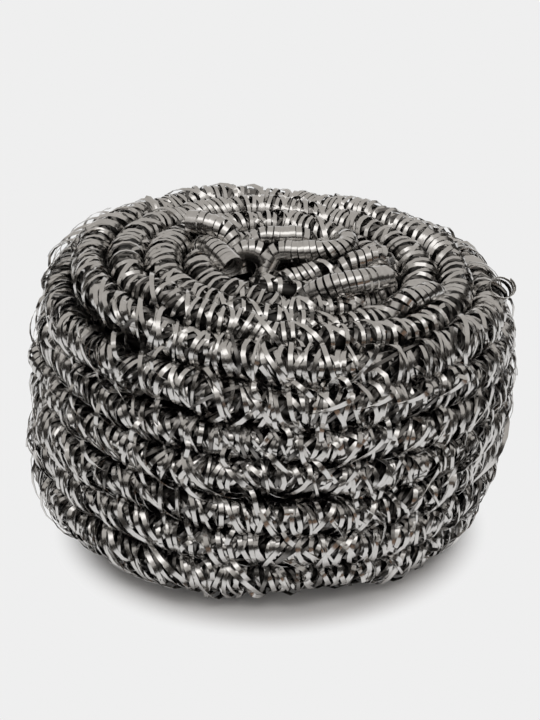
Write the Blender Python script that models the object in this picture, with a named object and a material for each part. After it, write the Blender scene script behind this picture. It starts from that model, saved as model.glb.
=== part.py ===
"""A metal scourer: one long springy strand of curled steel ribbon, wound on itself into a low drum.

The turns are packed tight, so the drum is one solid whose skin follows them, with a groove between
every two turns. Loops and open ends of the strand come out of the top and the side.
Metres; +Z up. The side in the photograph faces -Y.
"""
import math

import bmesh
import bpy
from mathutils import Vector

# the drum
DRUM_DIAMETER = 0.0755
DRUM_HEIGHT = 0.0434
BOTTOM_SHOULDER = 0.0045        # radius of the strand's centre line round the lower edge
TOP_SHOULDER = 0.0055           # and round the upper edge
BOTTOM_HOLE = 0.0050            # radius at which the bottom spiral starts
TOP_HOLE = 0.0080               # radius at which the top spiral ends
HOLE_DEPTH = 0.0030             # of the hollow in the middle of the top
FIRST_TURN_ANGLE = math.radians(120)

# the strand
SIDE_STRAND = 0.0056            # diameter where the turns press on one another, round the side
FLAT_STRAND = 0.0061            # diameter where they lie loosely, on the top and the bottom
STATIONS = 60                   # of the skin, in one turn
GROOVE = -math.pi / 2           # angle of a turn's groove; its crest is at 0
ARC = (-0.95, -0.32, 0.32, 0.95)    # angles of the skin's points across a turn, groove to groove
END_TAPER = 1.5                 # radians of winding over which the strand sinks in at its ends
LUMP = 0.07                     # unevenness of the strand, share of its radius
LUMP_RATES = (3.5, 2.2)         # of the two waves that make it, per radian of winding

# how the drum is out of true
BELLY = 0.030                   # swelling at half height, share of the radius
SIDE_OVAL = 0.020               # share of the radius
SIDE_OVAL_TURN = 2.4            # radians
TOP_OVAL = 0.035
TOP_OVAL_TURN = -0.5
TOP_TUCK = 0.035                # narrowing of the top, share of the radius
FOOT_X = -0.0013                # offset of the bottom
LEAN_X = 0.0036                 # offset of the top from the bottom
LEAN_Y = 0.0037
TAPER = 0.05592                 # loss of height from the middle to the +X side, share
SHOULDER_RISE = 0.0010          # hump on the top's front left shoulder
SHOULDER_SPOT = (-0.014, -0.020)
SHOULDER_SPREAD = 0.014
DISH = 0.0026                   # sinking of the middle of the top
DISH_SPREAD = 0.012
SIDE_WAVE = 0.0008              # height of the waves in the side turns
SIDE_WAVE_TURN = 1.0            # radians
SIDE_WAVE_TWIST = 3.0           # radians, bottom to top

# loops and open ends, with their diameters. Each point's x and y are shares of the radius of the
# strand's centre line; its z counts strands above the centre line of the top turns
END_STRAND = 0.0043             # of the strand's open ends on the top
LOOP_STRAND = 0.0038            # of the tight loops between them
NEST_STRAND = 0.0044            # of the stretches that cross the hollow
CURL_STRAND = 0.0040            # of the curls that stand out of the side
LOOPS = {
    "end_across_the_top": (END_STRAND, (
        (-0.44, 0.28, 0.55), (-0.36, 0.25, 0.62), (-0.27, 0.21, 0.52), (-0.21, 0.18, 0.05),
        (-0.19, 0.17, -0.40))),
    "end_beside_the_hollow": (END_STRAND, (
        (-0.40, 0.22, -0.30), (-0.36, 0.15, 0.25), (-0.31, 0.04, 0.46), (-0.25, -0.10, 0.44))),
    "back_loop": (LOOP_STRAND, (
        (-0.20, 0.23, -0.30), (-0.13, 0.23, 0.50), (-0.01, 0.24, 0.66), (0.11, 0.25, 0.58),
        (0.18, 0.26, -0.10))),
    "small_loop": (LOOP_STRAND, (
        (-0.27, 0.15, -0.30), (-0.20, 0.14, 0.36), (-0.11, 0.11, 0.52), (-0.05, 0.08, -0.10))),
    "middle_loop": (LOOP_STRAND, (
        (-0.09, 0.08, -0.25), (-0.04, 0.10, 0.62), (0.08, 0.08, 0.80), (0.22, 0.07, 0.74),
        (0.31, 0.13, 0.66), (0.31, 0.26, 0.48), (0.23, 0.34, -0.20))),
    "right_loop": (LOOP_STRAND, (
        (0.22, -0.07, -0.30), (0.29, -0.06, 0.48), (0.37, -0.04, 0.64), (0.46, 0.00, 0.60),
        (0.52, 0.03, -0.20))),
    "front_right_end": (END_STRAND, (
        (0.04, -0.31, -0.40), (0.13, -0.33, 0.28), (0.23, -0.36, 0.60), (0.35, -0.35, 0.75),
        (0.47, -0.28, 0.72))),
    "right_end": (LOOP_STRAND, (
        (0.47, -0.42, -0.40), (0.54, -0.42, 0.34), (0.62, -0.38, 0.45), (0.69, -0.31, 0.38),
        (0.74, -0.24, -0.30))),
    "nest_end": (NEST_STRAND, (
        (-0.04, -0.04, -0.45), (0.02, -0.05, 0.18), (0.10, -0.04, 0.35), (0.18, -0.02, 0.32),
        (0.24, 0.00, -0.30))),
    "nest_back": (NEST_STRAND, (
        (-0.20, 0.03, -0.70), (-0.08, -0.02, -0.05), (0.04, -0.02, 0.05), (0.16, 0.00, -0.55))),
    "nest_front": (NEST_STRAND, (
        (-0.24, -0.07, -0.55), (-0.12, -0.14, 0.05), (0.02, -0.15, 0.10), (0.15, -0.12, -0.10),
        (0.24, -0.14, -0.60))),
    "right_curl": (CURL_STRAND, (
        (0.92, 0.00, -0.80), (1.01, -0.08, -0.08), (1.03, -0.15, 0.26))),
    "left_coil": (CURL_STRAND, (
        (-0.92, 0.18, -2.45), (-1.03, 0.02, -2.34), (-1.06, -0.09, -2.48), (-0.94, -0.25, -2.80))),
}
LOOP_STEP = 0.0020              # between the points along a loop
LIP = 0.20                      # width of the rim round an open end, share of the diameter
SINK = 0.35                     # depth of an open end inside its rim, likewise
WELD = 0.00001


def line_radius():
    """Radius of the strand's centre line round the side."""
    return (DRUM_DIAMETER - SIDE_STRAND) / 2


def line_height():
    """Height between the centre lines of the bottom and the top turns."""
    return DRUM_HEIGHT - FLAT_STRAND


def profile_parts():
    """Lengths of the drum's profile: bottom, lower shoulder, side, upper shoulder, top."""
    quarter = math.pi / 2
    return (line_radius() - BOTTOM_SHOULDER, BOTTOM_SHOULDER * quarter,
            line_height() - BOTTOM_SHOULDER - TOP_SHOULDER, TOP_SHOULDER * quarter,
            line_radius() - TOP_SHOULDER)


def profile(run):
    """Radius, height and outward direction of the profile, this far from the bottom's middle."""
    bottom, lower, side, upper, top = profile_parts()
    if run < bottom:
        return run, 0.0, 0.0, -1.0
    run -= bottom
    if run < lower:
        turn = run / BOTTOM_SHOULDER
        out, up = math.sin(turn), -math.cos(turn)
        return bottom + BOTTOM_SHOULDER * out, BOTTOM_SHOULDER * (1 + up), out, up
    run -= lower
    if run < side:
        return line_radius(), BOTTOM_SHOULDER + run, 1.0, 0.0
    run -= side
    if run < upper:
        turn = run / TOP_SHOULDER
        out, up = math.cos(turn), math.sin(turn)
        return top + TOP_SHOULDER * out, line_height() - TOP_SHOULDER * (1 - up), out, up
    run -= upper
    return top - run, line_height(), 0.0, 1.0


def ease(share):
    share = min(max(share, 0.0), 1.0)
    return share * share * (3 - 2 * share)


def strand_diameter(run):
    """The strand is squeezed round the side and lies loose on the top and the bottom."""
    bottom, lower, side, upper, _ = profile_parts()
    start = bottom - BOTTOM_SHOULDER
    finish = bottom + lower + side
    squeeze = ease((run - start) / (lower + BOTTOM_SHOULDER)) * (1 - ease((run - finish) / upper))
    return FLAT_STRAND + (SIDE_STRAND - FLAT_STRAND) * squeeze


def warp(x, y, z):
    """Bend the true drum into the hand-wound one. Neighbouring turns move together."""
    radius = math.hypot(x, y)
    angle = math.atan2(y, x)
    share = z / line_height()
    middle = math.sin(math.pi * min(max(share, 0.0), 1.0))
    swell = 1 + (BELLY + SIDE_OVAL * math.sin(2 * angle + SIDE_OVAL_TURN)) * middle
    swell -= (TOP_TUCK + TOP_OVAL * math.sin(2 * angle + TOP_OVAL_TURN)) * share ** 2
    x = x * swell + FOOT_X + LEAN_X * share
    y = y * swell + LEAN_Y * share ** 2
    away = math.hypot(x - SHOULDER_SPOT[0], y - SHOULDER_SPOT[1]) / SHOULDER_SPREAD
    rise = SHOULDER_RISE * share ** 2 * math.exp(-away ** 2)
    dish = DISH * math.exp(-(radius / DISH_SPREAD) ** 2) * max(2 * share - 1, 0.0)
    wave = SIDE_WAVE * math.sin(2 * angle + SIDE_WAVE_TURN + SIDE_WAVE_TWIST * share) * middle
    drop = TAPER * x / line_radius() * max(z, 0.0)
    return Vector((x, y, z - drop + rise - dish + wave))


def groove_runs():
    """How far up the profile the groove lies at each station along the spiral."""
    finish = sum(profile_parts()) - TOP_HOLE
    runs = [BOTTOM_HOLE]
    while runs[-1] < finish:
        middle = runs[-1] + strand_diameter(runs[-1]) / 2
        runs.append(runs[-1] + strand_diameter(middle) / STATIONS)
    return runs


def skin_point(run, width, station, strips, tilt):
    """A point of the skin, at this angle across the turn whose groove lies at run."""
    step = 2 * math.pi / STATIONS
    wound = station * step
    radius, height, out, up = profile(run + width * (1 + math.sin(tilt)) / 2)
    ends = ease(wound / END_TAPER) * ease((strips - 1 - station) * step / END_TAPER)
    waves = math.sin(LUMP_RATES[0] * wound) * math.cos(LUMP_RATES[1] * wound)
    lump = 1 + LUMP * ease(height / line_height()) * waves
    lift = width / 2 * math.cos(tilt) * ends * lump
    radius += out * lift
    angle = FIRST_TURN_ANGLE - wound
    return warp(radius * math.cos(angle), radius * math.sin(angle), height + up * lift)


def wound_drum():
    """The drum's closed skin, lofted from groove to groove along the spiral."""
    runs = groove_runs()
    strips = len(runs) - STATIONS
    rows = (GROOVE,) + ARC
    across = len(rows)
    points = []
    for station in range(strips):
        width = runs[station + STATIONS] - runs[station]
        for tilt in rows:
            points.append(skin_point(runs[station], width, station, strips, tilt))
    for station in range(strips, len(runs)):
        points.append(skin_point(runs[station], 0.0, station, strips, GROOVE))

    def number(station, row):
        if row == across:
            return number(station + STATIONS, 0)
        if station >= strips:
            return strips * across + station - strips
        return station * across + row

    faces = []
    for station in range(strips - 1):
        for row in range(across):
            faces.append((number(station, row), number(station, row + 1),
                          number(station + 1, row + 1), number(station + 1, row)))
    bottom_rim = [number(station, 0) for station in range(STATIONS + 1)]
    bottom_rim += [number(0, row) for row in range(across - 1, 0, -1)]
    top_rim = [number(station, 0) for station in range(len(runs) - 1, strips - 2, -1)]
    top_rim += [number(strips - 1, row) for row in range(1, across)]
    poles = (warp(0.0, 0.0, 0.0), warp(0.0, 0.0, line_height() - HOLE_DEPTH))
    for rim, pole in zip((bottom_rim, top_rim), poles):
        points.append(pole)
        for here, beside in zip(rim, rim[1:] + rim[:1]):
            faces.append((len(points) - 1, here, beside))
    mesh = bpy.data.meshes.new("coiled_strand")
    mesh.from_pydata(points, [], faces)
    return bpy.data.objects.new("coiled_strand", mesh)


def smooth_line(points):
    """Points about a step apart on a smooth curve through the given ones."""
    ends = [points[0] * 2 - points[1]] + points + [points[-1] * 2 - points[-2]]
    line = []
    for before, start, end, after in zip(ends, ends[1:], ends[2:], ends[3:]):
        count = max(round((end - start).length / LOOP_STEP), 1)
        for index in range(count):
            t = index / count
            line.append(0.5 * (2 * start + (end - before) * t
                               + (2 * before - 5 * start + 4 * end - after) * t ** 2
                               + (3 * start - before - 3 * end + after) * t ** 3))
    line.append(points[-1])
    return line


def loop_curve(name, diameter, places, collection):
    """A loop of the strand, as a bevelled curve through its places on the drum."""
    radius = line_radius()
    points = [warp(x * radius, y * radius, line_height() + z * FLAT_STRAND) for x, y, z in places]
    line = smooth_line(points)
    curve = bpy.data.curves.new(name, "CURVE")
    curve.dimensions = "3D"
    curve.bevel_depth = diameter / 2
    curve.bevel_resolution = 3
    curve.use_fill_caps = True
    spline = curve.splines.new("POLY")
    spline.points.add(len(line) - 1)
    for spot, place in zip(spline.points, line):
        spot.co = (*place, 1.0)
    thing = bpy.data.objects.new(name, curve)
    collection.objects.link(thing)
    return thing


def loop_body(name, diameter, places, collection):
    """The loop as a closed mesh. Its caps, its only triangles, are sunk inside a rim."""
    curve = loop_curve(name, diameter, places, collection)
    view = bpy.context.evaluated_depsgraph_get()
    mesh = bpy.data.meshes.new_from_object(curve.evaluated_get(view))
    bpy.data.objects.remove(curve, do_unlink=True)
    shape = bmesh.new()
    shape.from_mesh(mesh)
    bmesh.ops.remove_doubles(shape, verts=shape.verts, dist=WELD)
    bmesh.ops.recalc_face_normals(shape, faces=shape.faces)
    caps = [face for face in shape.faces if len(face.verts) == 3]
    bmesh.ops.inset_region(shape, faces=caps, thickness=LIP * diameter, depth=-SINK * diameter)
    shape.to_mesh(mesh)
    shape.free()
    thing = bpy.data.objects.new(name, mesh)
    thing.hide_render = True
    thing.display_type = "WIRE"
    collection.objects.link(thing)
    return thing


def shells(shape):
    """The connected groups of faces of a mesh."""
    unseen = set(shape.faces)
    while unseen:
        shell = [unseen.pop()]
        for face in shell:
            for edge in face.edges:
                for beside in edge.link_faces:
                    if beside in unseen:
                        unseen.remove(beside)
                        shell.append(beside)
        yield shell


def fill_pockets(mesh):
    """Fill the closed pockets that the loops shut in against the drum, and leave only triangles."""
    shape = bmesh.new()
    shape.from_mesh(mesh)
    bmesh.ops.triangulate(shape, faces=shape.faces)
    for shell in list(shells(shape)):
        volume = sum(face.calc_area() * face.calc_center_median().dot(face.normal) for face in shell)
        if volume < 0:
            bmesh.ops.delete(shape, geom=shell, context="FACES")
    shape.to_mesh(mesh)
    shape.free()


def join_loops(drum, collection):
    """The drum's mesh with every loop joined to it."""
    for name, (diameter, places) in LOOPS.items():
        union = drum.modifiers.new(name, "BOOLEAN")
        union.operation = "UNION"
        union.solver = "EXACT"
        union.object = loop_body(name, diameter, places, collection)
    view = bpy.context.evaluated_depsgraph_get()
    mesh = bpy.data.meshes.new_from_object(drum.evaluated_get(view))
    drum.modifiers.clear()
    return mesh


def stand_at_origin(mesh):
    """Move the mesh so that the middle of its underside is the origin."""
    xs, ys, zs = zip(*(vertex.co for vertex in mesh.vertices))
    origin = Vector(((min(xs) + max(xs)) / 2, (min(ys) + max(ys)) / 2, min(zs)))
    for vertex in mesh.vertices:
        vertex.co -= origin


def steel():
    material = bpy.data.materials.new("scourer_steel")
    material.use_nodes = True
    shader = material.node_tree.nodes["Principled BSDF"]
    shader.inputs["Base Color"].default_value = (0.60, 0.59, 0.57, 1.0)
    shader.inputs["Metallic"].default_value = 1.0
    shader.inputs["Roughness"].default_value = 0.28
    return material


def build():
    for old in list(bpy.data.objects):
        bpy.data.objects.remove(old, do_unlink=True)
    scourer = bpy.data.collections.new("metal_scourer")
    joined = bpy.data.collections.new("joined_loops")
    for collection in (scourer, joined):
        bpy.context.scene.collection.children.link(collection)
    drum = wound_drum()
    scourer.objects.link(drum)
    mesh = join_loops(drum, joined)
    fill_pockets(mesh)
    stand_at_origin(mesh)
    mesh.materials.clear()
    mesh.materials.append(steel())
    mesh.shade_smooth()
    mesh.set_sharp_from_angle(angle=math.radians(50))
    drum.data = mesh


build()
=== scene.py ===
"""The look of a metal scourer: flat steel ribbons, curled together into a strand wound on itself.

The strand's path is that of the frame's solid. The ribbons are curled round it, tight on the top
and loose round the side. Metres; +Z up; the side in the photograph faces -Y.
"""
import math
from collections import namedtuple

import bpy
import numpy as np
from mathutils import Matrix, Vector


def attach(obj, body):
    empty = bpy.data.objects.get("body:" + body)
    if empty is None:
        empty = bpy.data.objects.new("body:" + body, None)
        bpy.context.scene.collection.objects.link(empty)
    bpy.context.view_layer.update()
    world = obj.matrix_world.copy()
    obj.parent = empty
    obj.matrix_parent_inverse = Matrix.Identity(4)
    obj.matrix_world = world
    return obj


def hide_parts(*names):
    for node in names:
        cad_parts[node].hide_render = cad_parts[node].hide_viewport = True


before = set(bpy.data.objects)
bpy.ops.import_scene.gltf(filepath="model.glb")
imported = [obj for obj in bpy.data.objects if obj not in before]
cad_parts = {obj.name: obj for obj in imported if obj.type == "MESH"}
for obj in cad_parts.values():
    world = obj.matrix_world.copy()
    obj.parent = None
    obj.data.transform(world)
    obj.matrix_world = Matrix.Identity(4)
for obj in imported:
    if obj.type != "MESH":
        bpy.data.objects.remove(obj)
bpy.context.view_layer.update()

# the drum, as the solid has it
DRUM_DIAMETER = 0.0755
DRUM_HEIGHT = 0.0434
BOTTOM_SHOULDER = 0.0045
TOP_SHOULDER = 0.0055
BOTTOM_HOLE = 0.0050
TOP_HOLE = 0.0080
HOLE_DEPTH = 0.0030
FIRST_TURN_ANGLE = math.radians(120)
SIDE_STRAND = 0.0056
FLAT_STRAND = 0.0061
STATIONS = 60                   # along the strand, in one turn of the drum
BELLY = 0.030
SIDE_OVAL = 0.020
SIDE_OVAL_TURN = 2.4
TOP_OVAL = 0.035
TOP_OVAL_TURN = -0.5
TOP_TUCK = 0.035
FOOT_X = -0.0013
LEAN_X = 0.0036
LEAN_Y = 0.0037
TAPER = 0.05592
SHOULDER_RISE = 0.0010
SHOULDER_SPOT = (-0.014, -0.020)
SHOULDER_SPREAD = 0.014
DISH = 0.0026
DISH_SPREAD = 0.012
SIDE_WAVE = 0.0008
SIDE_WAVE_TURN = 1.0
SIDE_WAVE_TWIST = 3.0
ORIGIN = np.array((0.000331, 0.000828, -0.002895))      # of the row frame, in the drum's own

# loops and open ends of the strand, as the solid has them: x and y are shares of the radius of the
# strand's centre line, and z counts strands above the centre line of the top turns
END_STRAND = 0.0043             # of the strand's open ends on the top
LOOP_STRAND = 0.0038            # of the tight loops between them
NEST_STRAND = 0.0044            # of the stretches that cross the hollow
CURL_STRAND = 0.0040            # of the curls that stand out of the side
LOOPS = {
    "end_across_the_top": (END_STRAND, (
        (-0.44, 0.28, 0.55), (-0.36, 0.25, 0.62), (-0.27, 0.21, 0.52), (-0.21, 0.18, 0.05),
        (-0.19, 0.17, -0.40))),
    "end_beside_the_hollow": (END_STRAND, (
        (-0.40, 0.22, -0.30), (-0.36, 0.15, 0.25), (-0.31, 0.04, 0.46), (-0.25, -0.10, 0.44))),
    "back_loop": (LOOP_STRAND, (
        (-0.20, 0.23, -0.30), (-0.13, 0.23, 0.50), (-0.01, 0.24, 0.66), (0.11, 0.25, 0.58),
        (0.18, 0.26, -0.10))),
    "small_loop": (LOOP_STRAND, (
        (-0.27, 0.15, -0.30), (-0.20, 0.14, 0.36), (-0.11, 0.11, 0.52), (-0.05, 0.08, -0.10))),
    "middle_loop": (LOOP_STRAND, (
        (-0.09, 0.08, -0.25), (-0.04, 0.10, 0.62), (0.08, 0.08, 0.80), (0.22, 0.07, 0.74),
        (0.31, 0.13, 0.66), (0.31, 0.26, 0.48), (0.23, 0.34, -0.20))),
    "right_loop": (LOOP_STRAND, (
        (0.22, -0.07, -0.30), (0.29, -0.06, 0.48), (0.37, -0.04, 0.64), (0.46, 0.00, 0.60),
        (0.52, 0.03, -0.20))),
    "front_right_end": (END_STRAND, (
        (0.04, -0.31, -0.40), (0.13, -0.33, 0.28), (0.23, -0.36, 0.60), (0.35, -0.35, 0.75),
        (0.47, -0.28, 0.72))),
    "right_end": (LOOP_STRAND, (
        (0.47, -0.42, -0.40), (0.54, -0.42, 0.34), (0.62, -0.38, 0.45), (0.69, -0.31, 0.38),
        (0.74, -0.24, -0.30))),
    "nest_end": (NEST_STRAND, (
        (-0.04, -0.04, -0.45), (0.02, -0.05, 0.18), (0.10, -0.04, 0.35), (0.18, -0.02, 0.32),
        (0.24, 0.00, -0.30))),
    "nest_back": (NEST_STRAND, (
        (-0.20, 0.03, -0.70), (-0.08, -0.02, -0.05), (0.04, -0.02, 0.05), (0.16, 0.00, -0.55))),
    "nest_front": (NEST_STRAND, (
        (-0.24, -0.07, -0.55), (-0.12, -0.14, 0.05), (0.02, -0.15, 0.10), (0.15, -0.12, -0.10),
        (0.24, -0.14, -0.60))),
    "right_curl": (CURL_STRAND, (
        (0.92, 0.00, -0.80), (1.01, -0.08, -0.08), (1.03, -0.15, 0.26))),
    "left_coil": (CURL_STRAND, (
        (-0.92, 0.18, -2.45), (-1.03, 0.02, -2.34), (-1.06, -0.09, -2.48), (-0.94, -0.25, -2.80))),
}
LOOP_POINTS = 12                # on the smooth curve, from one given point to the next
LOOP_OUTWARD = np.array((0.0, 0.3, 1.0))        # where a loop's outward direction starts

# how the hand-wound strand strays from its true spiral, and after what length it changes
WANDER = 0.00036
OUTWARD_EVERY = 0.011
UPWARD_EVERY = 0.013
LUMP = 0.06                     # unevenness of its thickness, share of its radius
LUMP_EVERY = 0.012
LOOSENING = 1.5                 # how fast its curls loosen where the top goes over into the side

# the ribbon
RIBBON_WIDTH = 0.00076
THIN_WIDTH = 0.00045            # of the curls that stand a little out of the side
TOP_WIDTH = 0.00064             # on the top
LOOP_WIDTH = 0.00096            # in the tight loops
DEEP_WIDTH = 0.00060            # of what shows deeper in the strand
RIBBON_THICKNESS = 0.00006
STEPS = 16                      # along a ribbon, in one of its curls
STRAY_STEPS = 24                # and in a sprung curl
FLOOR_GAP = 0.00004
PATH_STEP = 0.0002              # along the path, where the curls are counted out on it

# the way from one curl to the next, in pitches
SIDE_SPREAD = 1.45
TOP_SPREAD = 1.33
OUTER_SPREAD = 1.90             # more of it left and right on the top
BACK_SPREAD = 0.25              # less of it at the back of the top

# how the strand's curls lie
SLANT = -0.30                   # of the side's curls, as a slope: leaning left is positive
SLANT_SWING = -0.65             # more of it to the right of the drum
TILT = 0.50                     # radians by which the top's curls left and right face the front
BOW = 0.5                       # bend of a sprung curl, share of its slant

# how uneven the curls are in the tight strand, and what the loose one adds
SLACK = (0.34, 0.45)
TIP_SLACK = (0.4, 0.6)
ROLL_SLACK = 0.5

# what drifts along the strand: after how many metres it changes, and by about how much
PITCH_DRIFT = (0.004, 0.2)
PITCH_LIMITS = (0.5, 1.8)
SIZE_DRIFT = (0.010, 0.03)
SLANT_DRIFT = (0.008, 0.40)
TIP_DRIFT = (0.007, 0.40)
STRAY_EVERY = 0.009

# what drifts from curl to curl: after how many curls it changes, and by about how much
ANGLE_DRIFT = (2, 0.3)
REACH_DRIFT = (0.8, 0.16)
FINE_REACH_DRIFT = (1.4, 0.03)
CURL_SLANT_DRIFT = (1.5, 0.35)
CURL_TIP_DRIFT = (1.5, 0.25)
ROLL_EVERY = 1.5

# the ribbons round the wound strand, as bundle takes them
LEANING_RIBBON = {"pitch": 0.0042, "swell": (0.92, 0.99), "slack": 1.1, "lean": 0.5}
SIDE_RIBBONS = {"pitch": 0.0034, "starts": 3, "swell": (0.9, 0.96), "tip": 0.2}
TOP_RIBBON = {"pitch": 0.0010, "swell": (0.92, 0.96), "width": TOP_WIDTH}
LOOSE_RIBBON = {"pitch": 0.0050, "swell": (0.4, 0.99), "slack": 1.3, "lean": -0.25}
SMALL_RIBBONS = {"pitch": 0.0030, "starts": 2, "swell": (0.3, 0.60), "slack": 1.4, "lean": 0.3,
                 "steps": 12, "lift": 0.0010, "stray": 0.0012}
PROUD_RIBBON = {"pitch": 0.0048, "swell": (0.5, 1.12), "slack": 0.7, "lean": 0.2,
                "width": THIN_WIDTH, "steps": 20}
CROSSING_RIBBON = {"pitch": 0.0052, "swell": (0.4, 0.76), "slack": 1.4, "lean": -0.1, "steps": 12,
                   "lift": 0.0008, "aside": 0.0027, "stray": 0.0010}
LAST_TURN = 0.22                # of the side, below the top: no ribbon crosses the groove above it
STRETCHES = 4                   # pieces of the wound strand, end to end

# the ribbons of the loops, of the stretches in the hollow, and of what lies deeper; the deeper and
# inner ones take a darker copy of the steel, as painted shade
LOOP_RIBBON = {"pitch": 0.00107, "swell": (0.98, 0.98), "slack": 0.5, "width": LOOP_WIDTH,
               "roll": 0.10}
NEST_RIBBONS = {"pitch": 0.0045, "starts": 3, "swell": (1.0, 1.0), "slack": 1.5}
DEEPER_RIBBONS = {"pitch": 0.0024, "starts": 3, "hand": -1, "swell": (0.74, 0.80), "slack": 1.8,
                  "width": DEEP_WIDTH, "steps": 9}
INNER_RIBBONS = {"pitch": 0.0034, "starts": 2, "swell": (0.9, 0.9), "slack": 1.4,
                 "width": DEEP_WIDTH, "steps": 9}
INNER_DEPTH = 0.0046            # of the inner strand below the outer one

# what fills the strand, in near-black steel: painted deep shade
FILLING = 0.58                  # radius, share of the strand's own
FILLING_BUMPS = 0.045           # unevenness of that share
FILLING_STEP = 0.0014
FILLING_SIDES = 8
FILLING_TIP = 0.0002            # radius at its ends
OPEN_END = 0.0040               # depth to which a loop's open end is empty

# the drum of inner turns, in near-black steel: painted deep shade
CORE_DEPTH = 0.0062             # below the strand's centre line
CORE_ROWS = 40
CORE_SIDES = 96
CORE_EYE = 0.0002               # radius of the small flat in the middle of its top and underside
CORE_HOLLOW = 0.007             # radius of the hollow in its top

# curls sprung wide of the strand: the place of their middle, the length of the stretch, the pitch,
# their size as a share of the strand, their slant, and how far out of its line and up they lie
STRAYS = (
    ((0.0030, -0.0345, 0.0410), 0.006, 0.0050, 1.05, 0.3, 0.0008, 0.0004),
    ((0.0270, -0.0230, 0.0385), 0.010, 0.0030, 1.08, 0.5, 0.0003, 0.0),
    ((0.0315, -0.0220, 0.0370), 0.006, 0.0026, 1.15, -0.2, 0.0006, 0.0),
    ((0.0345, -0.0080, 0.0330), 0.016, 0.0026, 1.10, 0.2, 0.0008, 0.0),
    ((0.0345, -0.0100, 0.0250), 0.014, 0.0030, 1.10, 0.3, 0.0006, 0.0),
    ((-0.0290, 0.0190, 0.0380), 0.014, 0.0018, 1.22, -0.2, 0.0009, 0.0),
    ((-0.0350, 0.0040, 0.0330), 0.014, 0.0022, 1.18, 0.2, 0.0008, 0.0),
    ((-0.0370, 0.0000, 0.0150), 0.016, 0.0024, 1.15, 0.1, 0.0006, 0.0),
    ((-0.0340, -0.0144, 0.0350), 0.012, 0.0040, 1.15, 0.5, 0.0005, 0.0),
    ((-0.0290, -0.0190, 0.0370), 0.014, 0.0050, 1.15, 0.6, 0.0004, 0.0),
    ((-0.0100, -0.0350, 0.0200), 0.020, 0.0060, 1.12, 0.9, 0.0003, 0.0),
    ((0.0200, -0.0310, 0.0250), 0.020, 0.0060, 1.15, -1.2, 0.0003, 0.0),
    ((0.0250, -0.0270, 0.0150), 0.020, 0.0070, 1.15, -0.9, 0.0003, 0.0),
    ((-0.0200, 0.0300, 0.0250), 0.030, 0.0060, 1.15, -0.9, 0.0003, 0.0),
    ((0.0200, 0.0300, 0.0150), 0.030, 0.0060, 1.15, 0.9, 0.0003, 0.0),
)
STRAY_SLACK = 0.5

# a row of long sprung arcs under the top edge: as the strays above
ARCS = ((0.0160, -0.0350, 0.0370), 0.034, 0.0044, 0.50, -2.4, 0.0024, 0.0022)
ARC_SHARE = 0.21                # of a curl that shows on either side of its middle

# seeds of the random draws. The stretches of the wound strand have their own numbers, from 0
PATH_SEED = 7
LOOP_SEED = 50
DEEP_SEED = 60
STRAY_SEED = 70
FILLING_SEED = 90

# steels: the colours between which the tint wanders, and the roughness
CURLED_STEEL = ((0.68, 0.665, 0.65), (0.585, 0.57, 0.55), 0.22)
# a darker copy of the curled steel: painted shade on the ribbons that lie deeper in the strand
STEEL_WITH_PAINTED_SHADE = ((0.27, 0.258, 0.246), (0.115, 0.111, 0.107), 0.28)
# a near-black copy of the curled steel: painted deep shade on the strand's filling and the inner
# turns
STEEL_WITH_DEEP_PAINTED_SHADE = ((0.060, 0.057, 0.054), (0.025, 0.024, 0.023), 0.40)
TINT_SCALE = 0.35               # patches of tint, per millimetre
TINT_ENDS = (0.65, 0.35)        # where in the noise the two colours are reached
LINE_SCALE = (0.3, 14.0, 1.0)   # of the rolling lines: along a ribbon, across it, between ribbons
LINE_ROUGHNESS = 0.07           # what the lines add to the roughness, or take from it
LINE_BUMP = 0.12
LINE_DEPTH = 0.00002
MILLIMETRES = 1000              # in a metre: the patches and the lines count in millimetres
SHARP_EDGE = math.radians(60)

# where on the floor the shading round the scourer gives way to the floor's plain colour
SHADOW_MIDDLE = (0.0, -0.010, 0.0)
SHADOW_START = 0.0285
SHADOW_END = 0.0362

# the studio: its floor, its sky from the horizon up, its cards and its lamps
FLOOR_SIZE = 6.0
FLOOR_COLOR = (0.88, 0.88, 0.89, 1)
PLAIN_COLOR = (0.863, 0.863, 0.863, 1)
SKY = ((0.02, (0.86, 0.86, 0.86, 1)), (0.30, (0.55, 0.53, 0.505, 1)))
DARK_CARD = (0.03, 0.027, 0.024, 1)
BROWN_CARD = (0.26, 0.165, 0.11, 1)
CARDS = {                       # place, size, degrees turned about the vertical, colour
    "front_card": ((0, -0.9, 0.30), (2.0, 0.6), 0, DARK_CARD),
    "brown_card": ((0.45, -0.86, 0.20), (1.1, 0.34), 20, BROWN_CARD),
    "left_card": ((-0.8, 0.3, 0.25), (2.2, 0.5), 90, DARK_CARD),
    "right_card": ((0.8, 0.3, 0.25), (2.2, 0.5), 90, DARK_CARD),
}
LAMPS = {                       # place, aim, size, watts, and whether the steel mirrors it
    "softbox": ((0.0, -0.32, 0.80), (0, 0, 0.02), (0.80, 0.38), 1.05, True),
    "top_light": ((-0.02, 1.15, 1.6), (0, 0, 0.0), (0.7, 0.7), 11.5, False),
}

# the camera, fitted to the photograph. Pixels are those of its 540 x 720 frame
AIM = Vector((-0.00033, -0.00083, 0.0199))
AIM_PX = (268, 391)
FRAME_PX = (540, 720)
PX_PER_METRE = 6050.0           # at the aim
CAMERA_DISTANCE = 0.48
CAMERA_ELEVATION = math.radians(27)
SENSOR_WIDTH = 36.0
NEAREST_SEEN = 0.01

Spot = namedtuple("Spot", "centre along outward sideways radius loose slant spread tilt")


def ease(share):
    share = np.clip(share, 0.0, 1.0)
    return share * share * (3 - 2 * share)


def unit(vectors):
    return vectors / np.linalg.norm(vectors, axis=-1, keepdims=True)


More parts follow.
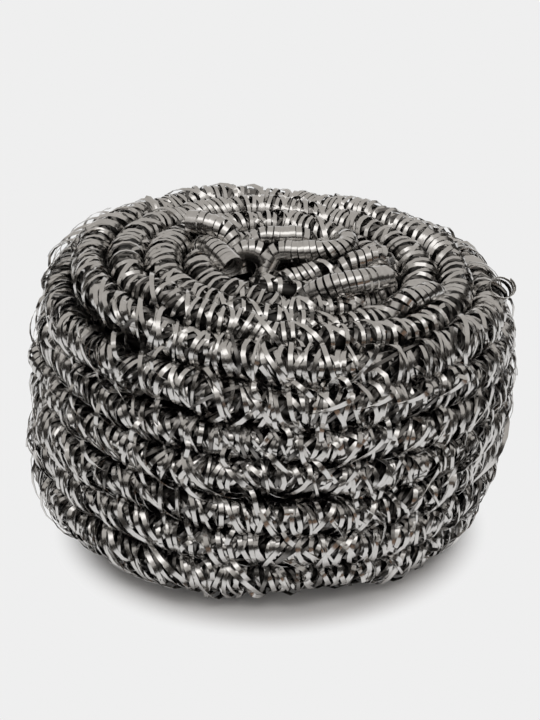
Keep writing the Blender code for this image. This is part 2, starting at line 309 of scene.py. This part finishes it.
def drift(rng, place, every, size):
    """A smooth random value of about this size, which changes with every such step of place."""
    place = (place - place[0]) / every
    knots = rng.normal(0, size, int(abs(place[-1])) + 3)
    step = np.abs(place).astype(int)
    share = ease(np.abs(place) - step)
    return knots[step] * (1 - share) + knots[step + 1] * share


def line_radius():
    return (DRUM_DIAMETER - SIDE_STRAND) / 2


def line_height():
    return DRUM_HEIGHT - FLAT_STRAND


def profile_parts():
    """Lengths of the drum's profile: bottom, lower shoulder, side, upper shoulder, top."""
    quarter = math.pi / 2
    return (line_radius() - BOTTOM_SHOULDER, BOTTOM_SHOULDER * quarter,
            line_height() - BOTTOM_SHOULDER - TOP_SHOULDER, TOP_SHOULDER * quarter,
            line_radius() - TOP_SHOULDER)


def profile(run):
    """Radius, height and outward tilt of the profile, this far from the bottom's middle."""
    bottom, lower, side, upper, _ = profile_parts()
    low = np.clip((run - bottom) / BOTTOM_SHOULDER, 0, math.pi / 2)
    high = np.clip((run - bottom - lower - side) / TOP_SHOULDER, 0, math.pi / 2)
    inward = np.maximum(run - bottom - lower - side - upper, 0)
    radius = (np.minimum(run, bottom) + BOTTOM_SHOULDER * np.sin(low)
              - TOP_SHOULDER * (1 - np.cos(high)) - inward)
    height = (BOTTOM_SHOULDER * (1 - np.cos(low)) + np.clip(run - bottom - lower, 0, side)
              + TOP_SHOULDER * np.sin(high))
    return radius, height, low + high - math.pi / 2


def strand_diameter(run):
    bottom, lower, side, upper, _ = profile_parts()
    start = bottom - BOTTOM_SHOULDER
    finish = bottom + lower + side
    squeeze = ease((run - start) / (lower + BOTTOM_SHOULDER)) * (1 - ease((run - finish) / upper))
    return FLAT_STRAND + (SIDE_STRAND - FLAT_STRAND) * squeeze


def groove_runs():
    """How far up the profile the groove between two turns lies at each station of the spiral."""
    finish = sum(profile_parts()) - TOP_HOLE
    runs = [BOTTOM_HOLE]
    while runs[-1] < finish:
        middle = runs[-1] + strand_diameter(runs[-1]) / 2
        runs.append(runs[-1] + strand_diameter(middle) / STATIONS)
    return np.array(runs)


def warp(points):
    """Bend the true drum into the hand-wound one, as the solid does, in the row frame."""
    x, y, z = points[..., 0], points[..., 1], points[..., 2]
    radius = np.hypot(x, y)
    angle = np.arctan2(y, x)
    share = z / line_height()
    middle = np.sin(math.pi * np.clip(share, 0, 1))
    swell = 1 + (BELLY + SIDE_OVAL * np.sin(2 * angle + SIDE_OVAL_TURN)) * middle
    swell = swell - (TOP_TUCK + TOP_OVAL * np.sin(2 * angle + TOP_OVAL_TURN)) * share ** 2
    x = x * swell + FOOT_X + LEAN_X * share
    y = y * swell + LEAN_Y * share ** 2
    away = np.hypot(x - SHOULDER_SPOT[0], y - SHOULDER_SPOT[1]) / SHOULDER_SPREAD
    rise = SHOULDER_RISE * share ** 2 * np.exp(-away ** 2)
    dish = DISH * np.exp(-(radius / DISH_SPREAD) ** 2) * np.maximum(2 * share - 1, 0)
    wave = SIDE_WAVE * np.sin(2 * angle + SIDE_WAVE_TURN + SIDE_WAVE_TWIST * share) * middle
    drop = TAPER * x / line_radius() * np.maximum(z, 0)
    return np.stack((x, y, z - drop + rise - dish + wave), axis=-1) - ORIGIN


class Path:
    """A strand's centre line, read by the distance along it.

    Loose is 0 where its curls lie in order and 1 where they don't, slant is how they lean there,
    spread scales the way from one to the next, and tilt turns their flat side along the strand.
    """

    def __init__(self, line, outward, radius, loose, slant, spread, tilt):
        reach = np.linalg.norm(np.diff(line, axis=0), axis=1)
        self.reach = np.concatenate(([0.0], np.cumsum(reach)))
        self.line = line
        self.loose = loose
        self.columns = np.column_stack((line, outward, radius, loose, slant, spread, tilt))

    def length(self):
        return self.reach[-1]

    def top(self):
        """The distance at which the path comes up from the side on to the top."""
        return self.reach[np.flatnonzero(self.loose > 0.5)[-1]]

    def nearest(self, place):
        """The distance along the path at which it passes nearest to a place."""
        return self.reach[np.argmin(np.linalg.norm(self.line - np.array(place), axis=1))]

    def at(self, distance):
        columns = [np.interp(distance, self.reach, column) for column in self.columns.T]
        centre = np.column_stack(columns[:3])
        outward = np.column_stack(columns[3:6])
        along = unit(np.gradient(centre, axis=0))
        outward = unit(outward - along * np.sum(outward * along, axis=1, keepdims=True))
        return Spot(centre, along, outward, np.cross(along, outward), *columns[6:])


def wound_path(depth=0.0, lag=0):
    """The wound strand's path from the bottom's middle to the top's.

    Depth is how deep in the drum it lies, and lag how many stations it winds behind the grooves.
    """
    runs = groove_runs()
    inner, outer = runs[:-STATIONS], runs[STATIONS:]
    wound = (np.arange(len(inner)) + lag) * 2 * math.pi / STATIONS
    angle = FIRST_TURN_ANGLE - wound
    radius, height, tilt = profile((inner + outer) / 2)
    outward = np.column_stack((np.cos(tilt) * np.cos(angle), np.cos(tilt) * np.sin(angle),
                               np.sin(tilt)))
    line = np.column_stack((radius * np.cos(angle), radius * np.sin(angle), height))
    line = line - outward * depth
    centre = warp(line)
    outward = unit(warp(line + outward * SIDE_STRAND) - centre)
    rng = np.random.default_rng(PATH_SEED + lag)
    place = wound * line_radius()
    centre = centre + outward * drift(rng, place, OUTWARD_EVERY, WANDER)[:, None]
    centre[:, 2] += drift(rng, place, UPWARD_EVERY, WANDER) * np.cos(tilt)
    strand = (outer - inner) / 2 * (1 + drift(rng, place, LUMP_EVERY, LUMP))
    loose = ease(np.cos(tilt) * LOOSENING)
    right = centre[:, 0] / line_radius()
    back = centre[:, 1] / line_radius()
    slant = (SLANT + SLANT_SWING * right) * loose
    top_spread = TOP_SPREAD + OUTER_SPREAD * right ** 2 - BACK_SPREAD * back
    spread = top_spread * (1 - loose) + SIDE_SPREAD * loose
    return Path(centre, outward, strand, loose, slant, spread, TILT * right * (1 - loose))


def smooth_line(points):
    """Points close together on a smooth curve through the given ones."""
    ends = np.concatenate(([2 * points[0] - points[1]], points, [2 * points[-1] - points[-2]]))
    share = np.linspace(0, 1, LOOP_POINTS, endpoint=False)[:, None]
    line = []
    for before, start, end, after in zip(ends, ends[1:], ends[2:], ends[3:]):
        line.append(0.5 * (2 * start + (end - before) * share
                           + (2 * before - 5 * start + 4 * end - after) * share ** 2
                           + (3 * start - before - 3 * end + after) * share ** 3))
    return np.concatenate(line + [points[-1:]])


def carried(line, first):
    """The direction first carried along the line without turning about it."""
    out = [first]
    for heading in unit(np.gradient(line, axis=0)):
        out.append(unit(out[-1] - heading * np.dot(out[-1], heading)))
    return np.array(out[1:])


def loop_path(name):
    diameter, places = LOOPS[name]
    x, y, z = np.array(places).T
    radius = line_radius()
    points = warp(np.column_stack((x * radius, y * radius, line_height() + z * FLAT_STRAND)))
    line = smooth_line(points)
    outward = carried(line, LOOP_OUTWARD)
    still = np.zeros(len(line))
    return Path(line, outward, still + diameter / 2, still, still, still + 1, still)


def curl_places(path, start, finish, rng, pitch, slack, steps):
    """Turns counted off from the start, and the distance along the path at each of them."""
    grid = np.arange(start, finish, PATH_STEP)
    every, size = PITCH_DRIFT
    advance = pitch * path.at(grid).spread
    advance = advance * np.clip(1 + drift(rng, grid, every, size * slack), *PITCH_LIMITS)
    turned = np.concatenate(([0.0], np.cumsum(np.diff(grid) / advance[1:])))
    turns = np.arange(0, turned[-1], 1 / steps)
    return turns, np.interp(turns, turned, grid)


def bundle(path, start, finish, rng, pitch, starts=1, hand=1, swell=(1.0, 1.0), slack=1.0, lean=0.0,
           tip=0.0, width=RIBBON_WIDTH, steps=STEPS, roll=0.25, lift=0.0, aside=0.0, stray=0.0):
    """Ribbons curled together round the path: each one's points, ways across and out, and width.

    Pitch is the advance of one curl. Swell is the size of the curls where the path is tight and
    where it is loose, slack scales how unevenly they lie, and lean and tip slant them. Lift moves
    them out from the path's line and aside to its side, and stray is how far they wander there.
    """
    turns, distance = curl_places(path, start, finish, rng, pitch, slack, steps)
    spot = path.at(distance)
    aside = aside + drift(rng, distance, STRAY_EVERY, stray)
    centre = spot.centre + spot.outward * lift + spot.sideways * aside[:, None]
    size = swell[0] + (swell[1] - swell[0]) * spot.loose
    size = size * (1 + drift(rng, distance, *SIZE_DRIFT))
    loose = slack * (SLACK[0] + SLACK[1] * spot.loose)
    shared_slant = spot.slant + lean + drift(rng, distance, *SLANT_DRIFT) * loose
    shared_tip = tip + drift(rng, distance, *TIP_DRIFT) * (TIP_SLACK[0] + TIP_SLACK[1] * loose)
    curls = []
    for number in range(starts):
        angle = 2 * math.pi * (turns * hand + number / starts)
        angle = angle + drift(rng, turns, *ANGLE_DRIFT) * loose
        reach = spot.radius * size * (1 + drift(rng, turns, *REACH_DRIFT) * loose
                                      + drift(rng, turns, *FINE_REACH_DRIFT))
        slant = shared_slant + drift(rng, turns, *CURL_SLANT_DRIFT) * loose
        tipped = shared_tip + drift(rng, turns, *CURL_TIP_DRIFT) * loose
        away = spot.outward * np.cos(angle)[:, None] + spot.sideways * np.sin(angle)[:, None]
        shift = (slant * np.sin(angle) + tipped * np.cos(angle)) * reach
        points = centre + away * reach[:, None] + spot.along * shift[:, None]
        heading = unit(np.gradient(points, axis=0))
        across = unit(np.cross(heading, away))
        facing = np.cross(across, heading)
        twist = spot.tilt * hand + drift(rng, turns, ROLL_EVERY, roll) * (ROLL_SLACK + loose)
        twist = twist[:, None]
        curls.append((points, np.cos(twist) * across + np.sin(twist) * facing,
                      np.cos(twist) * facing - np.sin(twist) * across, width))
    return curls


def tube_faces(count, sides):
    """Quads round a tube of this many rings, and over both its ends. Sides is an even number."""
    row, col = np.meshgrid(np.arange(count - 1), np.arange(sides), indexing="ij")
    there = (col + 1) % sides
    around = np.stack((row * sides + col, row * sides + there, (row + 1) * sides + there,
                       (row + 1) * sides + col), axis=-1).reshape(-1, 4)
    last = (count - 1) * sides
    near = [(i + 2, i + 1, i, 0) for i in range(1, sides - 1, 2)]
    far = [(last, last + i, last + i + 1, last + i + 2) for i in range(1, sides - 1, 2)]
    return np.concatenate((around, near, far))


def ribbon_mesh(curls):
    """Vertices, quads and each vertex's place on its ribbon, of closed flat ribbons.

    A place is the way along and across the ribbon in millimetres, and the ribbon's own number.
    """
    corners = ((-0.5, 0.5), (0.5, 0.5), (0.5, -0.5), (-0.5, -0.5))
    vertices, faces, places, base = [], [], [], 0
    for number, (points, across, facing, width) in enumerate(curls):
        ring = [points + across * width * side + facing * RIBBON_THICKNESS * lift
                for side, lift in corners]
        ring = np.stack(ring, axis=1).reshape(-1, 3)
        ring[:, 2] = np.maximum(ring[:, 2], FLOOR_GAP)
        reach = np.concatenate(([0.0], np.cumsum(np.linalg.norm(np.diff(points, axis=0), axis=1))))
        place = np.empty((len(points), len(corners), 3))
        place[:, :, 0] = reach[:, None] * MILLIMETRES
        place[:, :, 1] = np.array([side for side, _ in corners]) * width * MILLIMETRES
        place[:, :, 2] = number
        vertices.append(ring)
        places.append(place.reshape(-1, 3))
        faces.append(tube_faces(len(points), len(corners)) + base)
        base += len(ring)
    return np.concatenate(vertices), np.concatenate(faces), np.concatenate(places)


def filling_mesh(stretches):
    """Vertices, quads and places of closed bumpy tubes that stand for the strand's inside."""
    rng = np.random.default_rng(FILLING_SEED)
    angle = np.arange(FILLING_SIDES) * 2 * math.pi / FILLING_SIDES
    vertices, faces, base = [], [], 0
    for path, start, finish in stretches:
        spot = path.at(np.arange(start, finish, FILLING_STEP))
        count = len(spot.centre)
        bumps = rng.normal(0, FILLING_BUMPS, (count, FILLING_SIDES))
        reach = spot.radius[:, None] * (FILLING + bumps)
        reach[0] = reach[-1] = FILLING_TIP
        ring = (spot.centre[:, None] + spot.outward[:, None] * (np.cos(angle) * reach)[:, :, None]
                + spot.sideways[:, None] * (np.sin(angle) * reach)[:, :, None]).reshape(-1, 3)
        ring[:, 2] = np.maximum(ring[:, 2], FLOOR_GAP)
        vertices.append(ring)
        faces.append(tube_faces(count, FILLING_SIDES) + base)
        base += len(ring)
    vertices = np.concatenate(vertices)
    return vertices, np.concatenate(faces), vertices * MILLIMETRES


def core_mesh():
    """Vertices, quads and places of the drum of inner turns under the outer strand."""
    runs = np.linspace(CORE_EYE, sum(profile_parts()) - CORE_EYE, CORE_ROWS)
    radius, height, tilt = profile(runs)
    radius = np.maximum(radius - CORE_DEPTH * np.cos(tilt), 0)
    height = height - CORE_DEPTH * np.sin(tilt)
    hollow = HOLE_DEPTH * np.exp(-(radius / CORE_HOLLOW) ** 4) * (height > line_height() / 2)
    height = height - hollow
    angle = np.arange(CORE_SIDES) * 2 * math.pi / CORE_SIDES
    points = np.stack((radius[:, None] * np.cos(angle), radius[:, None] * np.sin(angle),
                       np.broadcast_to(height[:, None], (CORE_ROWS, CORE_SIDES))), axis=-1)
    points = warp(points).reshape(-1, 3)
    return points, tube_faces(CORE_ROWS, CORE_SIDES), points * MILLIMETRES


def make_piece(name, vertices, quads, places, material):
    mesh = bpy.data.meshes.new(name)
    mesh.vertices.add(len(vertices))
    mesh.vertices.foreach_set("co", vertices.ravel())
    mesh.loops.add(quads.size)
    mesh.loops.foreach_set("vertex_index", quads.ravel())
    mesh.polygons.add(len(quads))
    mesh.polygons.foreach_set("loop_start", np.arange(len(quads)) * 4)
    mesh.update(calc_edges=True)
    mesh.shade_smooth()
    mesh.set_sharp_from_angle(angle=SHARP_EDGE)
    ribbon = mesh.attributes.new("ribbon", "FLOAT_VECTOR", "POINT")
    ribbon.data.foreach_set("vector", places.ravel())
    mesh.materials.append(material)
    piece = bpy.data.objects.new(name, mesh)
    bpy.context.scene.collection.objects.link(piece)
    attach(piece, "root")
    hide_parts("coiled_strand")
    print(name, len(quads) * 2, "triangles")


def new_material(name):
    material = bpy.data.materials.new(name)
    material.use_nodes = True
    return material, material.node_tree.nodes["Principled BSDF"]


def new_node(tree, kind, values=None):
    """A node of the tree, with values for some of its sockets."""
    node = tree.nodes.new(kind)
    for socket, value in (values or {}).items():
        node.inputs[socket].default_value = value
    return node


def set_ramp(ramp, stops):
    """Give a colour ramp its two stops, each a place and a colour."""
    for element, (place, color) in zip(ramp.elements, stops):
        element.position = place
        element.color = color


def steel(name, bright, dull, roughness):
    """Rolled ribbon: its tint wanders between two colours, and fine rolling lines run along it.
    Darker colours make the copies that paint shade deeper in the strand.
    """
    material, shader = new_material(name)
    shader.inputs["Metallic"].default_value = 1.0
    tree = material.node_tree
    where = new_node(tree, "ShaderNodeAttribute")
    where.attribute_name = "ribbon"
    patches = new_node(tree, "ShaderNodeTexNoise", {"Scale": TINT_SCALE, "Detail": 3.0})
    tree.links.new(where.outputs["Vector"], patches.inputs["Vector"])
    tint = new_node(tree, "ShaderNodeValToRGB")
    bright_end, dull_end = TINT_ENDS
    set_ramp(tint.color_ramp, ((dull_end, (*dull, 1)), (bright_end, (*bright, 1))))
    tree.links.new(patches.outputs["Fac"], tint.inputs["Fac"])
    tree.links.new(tint.outputs["Color"], shader.inputs["Base Color"])
    stretch = new_node(tree, "ShaderNodeMapping", {"Scale": LINE_SCALE})
    tree.links.new(where.outputs["Vector"], stretch.inputs["Vector"])
    lines = new_node(tree, "ShaderNodeTexNoise", {"Scale": 1.0, "Detail": 2.0})
    tree.links.new(stretch.outputs["Vector"], lines.inputs["Vector"])
    rough = new_node(tree, "ShaderNodeMapRange", {"To Min": roughness - LINE_ROUGHNESS,
                                                  "To Max": roughness + LINE_ROUGHNESS})
    tree.links.new(lines.outputs["Fac"], rough.inputs["Value"])
    tree.links.new(rough.outputs["Result"], shader.inputs["Roughness"])
    bump = new_node(tree, "ShaderNodeBump", {"Strength": LINE_BUMP, "Distance": LINE_DEPTH})
    tree.links.new(lines.outputs["Fac"], bump.inputs["Height"])
    tree.links.new(bump.outputs["Normal"], shader.inputs["Normal"])
    return material


def matte(name, color):
    paint, shader = new_material(name)
    shader.inputs["Base Color"].default_value = color
    shader.inputs["Roughness"].default_value = 1.0
    shader.inputs["Specular IOR Level"].default_value = 0.0
    return paint


def combine(tree, operation, first, second):
    """What a math node makes of two outputs. A sum goes no higher than 1."""
    node = new_node(tree, "ShaderNodeMath")
    node.operation = operation
    node.use_clamp = operation == "ADD"
    tree.links.new(first, node.inputs[0])
    tree.links.new(second, node.inputs[1])
    return node.outputs["Value"]


def pale_floor():
    """The floor keeps the shadow round the scourer. Further out it shows its plain pale colour."""
    paint = matte("pale_floor", FLOOR_COLOR)
    tree = paint.node_tree
    where = new_node(tree, "ShaderNodeTexCoord")
    distance = new_node(tree, "ShaderNodeVectorMath")
    distance.operation = "LENGTH"
    tree.links.new(where.outputs["Object"], distance.inputs[0])
    far = new_node(tree, "ShaderNodeMapRange", {"From Min": SHADOW_START, "From Max": SHADOW_END})
    far.interpolation_type = "SMOOTHSTEP"
    tree.links.new(distance.outputs["Value"], far.inputs["Value"])
    rays = new_node(tree, "ShaderNodeLightPath").outputs
    mirrored = combine(tree, "ADD", rays["Is Glossy Ray"], rays["Is Transmission Ray"])
    seen = combine(tree, "ADD", rays["Is Camera Ray"], mirrored)
    share = combine(tree, "MULTIPLY", far.outputs["Result"], seen)
    plain = new_node(tree, "ShaderNodeEmission", {"Color": PLAIN_COLOR})
    mix = new_node(tree, "ShaderNodeMixShader")
    tree.links.new(share, mix.inputs["Fac"])
    tree.links.new(tree.nodes["Principled BSDF"].outputs["BSDF"], mix.inputs[1])
    tree.links.new(plain.outputs["Emission"], mix.inputs[2])
    tree.links.new(mix.outputs["Shader"], tree.nodes["Material Output"].inputs["Surface"])
    return paint


def pale_world():
    """A sky that is pale at the horizon and greyer above."""
    world = bpy.data.worlds.new("studio")
    world.use_nodes = True
    tree = world.node_tree
    where = new_node(tree, "ShaderNodeTexCoord")
    split = new_node(tree, "ShaderNodeSeparateXYZ")
    ramp = new_node(tree, "ShaderNodeValToRGB")
    set_ramp(ramp.color_ramp, SKY)
    tree.links.new(where.outputs["Generated"], split.inputs[0])
    tree.links.new(split.outputs["Z"], ramp.inputs["Fac"])
    tree.links.new(ramp.outputs["Color"], tree.nodes["Background"].inputs["Color"])
    return world


def add_lamp(name, place, aim, size, watts, mirrored):
    data = bpy.data.lights.new(name, "AREA")
    data.shape = "RECTANGLE"
    data.size, data.size_y = size
    data.energy = watts
    lamp = bpy.data.objects.new(name, data)
    lamp.location = place
    lamp.rotation_euler = (Vector(place) - Vector(aim)).to_track_quat("Z", "Y").to_euler()
    lamp.visible_glossy = mirrored
    bpy.context.scene.collection.objects.link(lamp)


def add_card(name, place, size, turn, color):
    """A card that the steel mirrors, out of the camera's sight."""
    bpy.ops.mesh.primitive_plane_add(size=1.0)
    thing = bpy.context.object
    thing.name = name
    thing.scale = (*size, 1)
    thing.location = place
    thing.rotation_euler = (math.radians(90), 0, math.radians(turn))
    thing.visible_camera = False
    thing.visible_shadow = False
    thing.visible_diffuse = False
    thing.data.materials.append(matte(name, color))


def studio():
    scene = bpy.context.scene
    scene.view_settings.view_transform = "Standard"
    scene.world = pale_world()
    bpy.ops.mesh.primitive_plane_add(size=FLOOR_SIZE, location=SHADOW_MIDDLE)
    floor = bpy.context.object
    floor.name = "floor"
    floor.data.materials.append(pale_floor())
    for name, facts in CARDS.items():
        add_card(name, *facts)
    for name, facts in LAMPS.items():
        add_lamp(name, *facts)


def camera():
    """The photograph's view."""
    data = bpy.data.cameras.new("camera")
    data.sensor_width = SENSOR_WIDTH
    data.lens = PX_PER_METRE * CAMERA_DISTANCE * SENSOR_WIDTH / max(FRAME_PX)
    data.shift_x = (FRAME_PX[0] / 2 - AIM_PX[0]) / max(FRAME_PX)
    data.shift_y = (AIM_PX[1] - FRAME_PX[1] / 2) / max(FRAME_PX)
    data.clip_start = NEAREST_SEEN
    thing = bpy.data.objects.new("camera", data)
    back = Vector((0, -math.cos(CAMERA_ELEVATION), math.sin(CAMERA_ELEVATION)))
    thing.location = AIM + back * CAMERA_DISTANCE
    thing.rotation_euler = back.to_track_quat("Z", "Y").to_euler()
    bpy.context.scene.collection.objects.link(thing)
    bpy.context.scene.camera = thing


def strand_pieces(path, metal):
    """The wound strand, in stretches: other ribbons lie round the side than on the top."""
    top = path.top()
    crossed = top - LAST_TURN
    for part in range(STRETCHES):
        start = path.length() * part / STRETCHES
        finish = path.length() * (part + 1) / STRETCHES
        rng = np.random.default_rng(part)
        curls = bundle(path, start, finish, rng, **LEANING_RIBBON)
        if start < top:
            curls += bundle(path, start, min(finish, top), rng, **SIDE_RIBBONS)
        if finish > top:
            curls += bundle(path, max(start, top), finish, rng, **TOP_RIBBON)
        for ribbons in (LOOSE_RIBBON, SMALL_RIBBONS, PROUD_RIBBON):
            curls += bundle(path, start, finish, rng, **ribbons)
        if start < crossed:
            curls += bundle(path, start, min(finish, crossed), rng, **CROSSING_RIBBON)
        make_piece("strand_%d" % (part + 1), *ribbon_mesh(curls), metal)


def loop_pieces(metal):
    rng = np.random.default_rng(LOOP_SEED)
    curls = []
    for name in LOOPS:
        path = loop_path(name)
        ribbons = NEST_RIBBONS if name.startswith("nest") else LOOP_RIBBON
        curls += bundle(path, 0, path.length(), rng, **ribbons)
    make_piece("loops", *ribbon_mesh(curls), metal)


def sprung_row(path, row, rng):
    place, length, pitch, swell, lean, lift, aside = row
    middle = path.nearest(place)
    return bundle(path, middle - length / 2, middle + length / 2, rng, pitch, swell=(swell, swell),
                  slack=STRAY_SLACK, lean=lean, tip=BOW * lean, steps=STRAY_STEPS, lift=lift,
                  aside=aside)


def stray_pieces(path, metal):
    """Curls that have sprung wide of the strand, and single arcs of such curls."""
    rng = np.random.default_rng(STRAY_SEED)
    curls = []
    for row in STRAYS:
        curls += sprung_row(path, row, rng)
    reach = round(STRAY_STEPS * ARC_SHARE)
    for points, across, facing, width in sprung_row(path, ARCS, rng):
        for middle in range(STRAY_STEPS, len(points) - STRAY_STEPS, STRAY_STEPS):
            kept = slice(middle - reach, middle + reach + 1)
            curls.append((points[kept], across[kept], facing[kept], width))
    make_piece("sprung_curls", *ribbon_mesh(curls), metal)


def hidden_pieces(path):
    """What shows dark between the curls: deeper ribbons, the strand's filling and inner turns, all
    in darker copies of the steel that are painted shade.
    """
    # the steel with painted shade, for the deeper ribbons and the inner strand
    dim = steel("steel_with_painted_shade", *STEEL_WITH_PAINTED_SHADE)
    # the near-black steel with painted deep shade, for the filling and the inner turns
    dark = steel("steel_with_deep_painted_shade", *STEEL_WITH_DEEP_PAINTED_SHADE)
    rng = np.random.default_rng(DEEP_SEED)
    curls = bundle(path, 0, path.length(), rng, **DEEPER_RIBBONS)
    make_piece("deeper_curls", *ribbon_mesh(curls), dim)
    inner = wound_path(depth=INNER_DEPTH, lag=STATIONS // 2)
    curls = bundle(inner, 0, inner.length(), rng, **INNER_RIBBONS)
    make_piece("inner_strand", *ribbon_mesh(curls), dim)
    stretches = [(path, 0.0, path.length())]
    for name in LOOPS:
        loop = loop_path(name)
        depth = min(OPEN_END, loop.length() / 4)
        stretches.append((loop, depth, loop.length() - depth))
    make_piece("filling", *filling_mesh(stretches), dark)
    make_piece("inner_turns", *core_mesh(), dark)


def scourer():
    metal = steel("curled_steel", *CURLED_STEEL)
    path = wound_path()
    strand_pieces(path, metal)
    loop_pieces(metal)
    stray_pieces(path, metal)
    hidden_pieces(path)


camera()
studio()
scourer()
